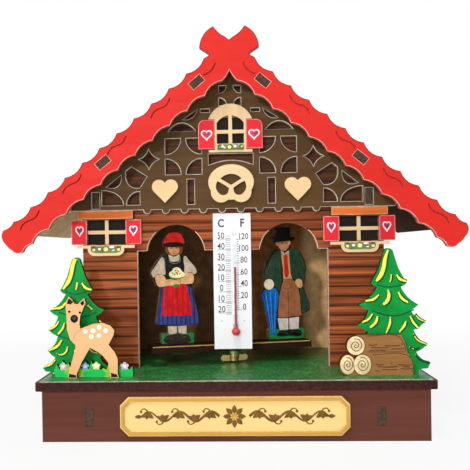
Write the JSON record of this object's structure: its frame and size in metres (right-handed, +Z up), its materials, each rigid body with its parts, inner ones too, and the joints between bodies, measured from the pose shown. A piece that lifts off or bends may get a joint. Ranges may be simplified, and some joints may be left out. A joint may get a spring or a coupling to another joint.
{
  "type": "weather house",
  "caption": "Chalet-shaped weather house: a gut-hung beam swings a man and a woman out of twin doorways beside a thermometer.",
  "frame": {"origin": "middle of the footprint of the whole object, on the surface that it stands on", "axes": "+X to the right as seen from the front, +Y from the front to the back, +Z up"},
  "size_m": [0.1988, 0.118, 0.1723],
  "materials": {
    "base_board": "satin stained board",
    "raw_board": "raw fibreboard",
    "deck_board": "dark stained board",
    "grass": "glossy printed grass",
    "plate": "lacquered print with a gold rim",
    "log_wall": "printed reddish planks",
    "barge_red": "red painted board",
    "fretwork": "dark brown board with pale outlines",
    "cream": "printed pale wood",
    "heart_wood": "printed pale wood",
    "shutter_red": "red painted board with a white heart",
    "flowers": "printed flowers",
    "lintel": "printed orange-brown board",
    "card": "white card with a printed scale",
    "tube_glass": "clear glass",
    "spirit": "red spirit",
    "brass": "worn brass",
    "gut": "twisted gut",
    "beam_wood": "dark stained wood",
    "washer": "darkened steel",
    "woman_print": "printed board",
    "man_print": "printed board",
    "pane": "dark printed pane",
    "tree_green": "printed board",
    "deer_print": "printed board",
    "meadow_green": "printed board",
    "log_brown": "printed board"
  },
  "bodies": {
    "house": {"base_front": "base_board", "base_back": "base_board", "base_end_left": "base_board", "base_end_right": "base_board", "base_rib_left": "raw_board", "base_rib_right": "raw_board", "deck": "deck_board", "grass_sheet": "grass", "nameplate": "plate", "front_wall": "log_wall", "back_wall": "raw_board", "side_wall_left": "raw_board", "side_wall_right": "raw_board", "ceiling_plate": "raw_board", "roof_panel_left": "raw_board", "roof_panel_right": "raw_board", "bargeboard": "barge_red", "fretwork_panel": "fretwork", "gable_pretzel": "cream", "gable_heart_left": "heart_wood", "gable_heart_right": "heart_wood", "gable_window": "cream", "gable_shutter_left": "shutter_red", "gable_shutter_right": "shutter_red", "gable_pane": "pane", "gable_flowers": "flowers", "left_lintel": "lintel", "left_cross": "cream", "left_pane": "pane", "left_sill": "cream", "left_inner_shutter": "shutter_red", "left_outer_shutter": "shutter_red", "right_lintel": "lintel", "right_cross": "cream", "right_pane": "pane", "right_sill": "cream", "right_inner_shutter": "shutter_red", "right_outer_shutter": "shutter_red", "thermometer_card": "card", "thermometer_tube": "tube_glass", "spirit_column": "spirit", "adjuster_bush": "brass", "tree_left": "tree_green", "tree_right": "tree_green", "deer": "deer_print", "meadow": "meadow_green", "log_pile": "log_brown"},
    "beam": {"beam": "beam_wood", "beam_bolt": "brass", "beam_washer": "washer", "wing_nut": "brass", "gut_cord": "gut", "woman_figure": "woman_print", "man_figure": "man_print"},
    "adjuster": {"adjuster_knob": "brass"}
  },
  "joints": [
    {"name": "beam_swing", "type": "hinge", "parent": "house", "child": "beam", "pos_m": [0, -0.0084, 0.0316], "axis": [0, 0, 1], "range_deg": [-44, 12], "stiffness_Nm_per_rad": 0.0002},
    {"name": "adjuster_turn", "type": "hinge", "parent": "house", "child": "adjuster", "pos_m": [0, -0.0084, 0.1], "axis": [0, 0, 1], "continuous": true}
  ]
}
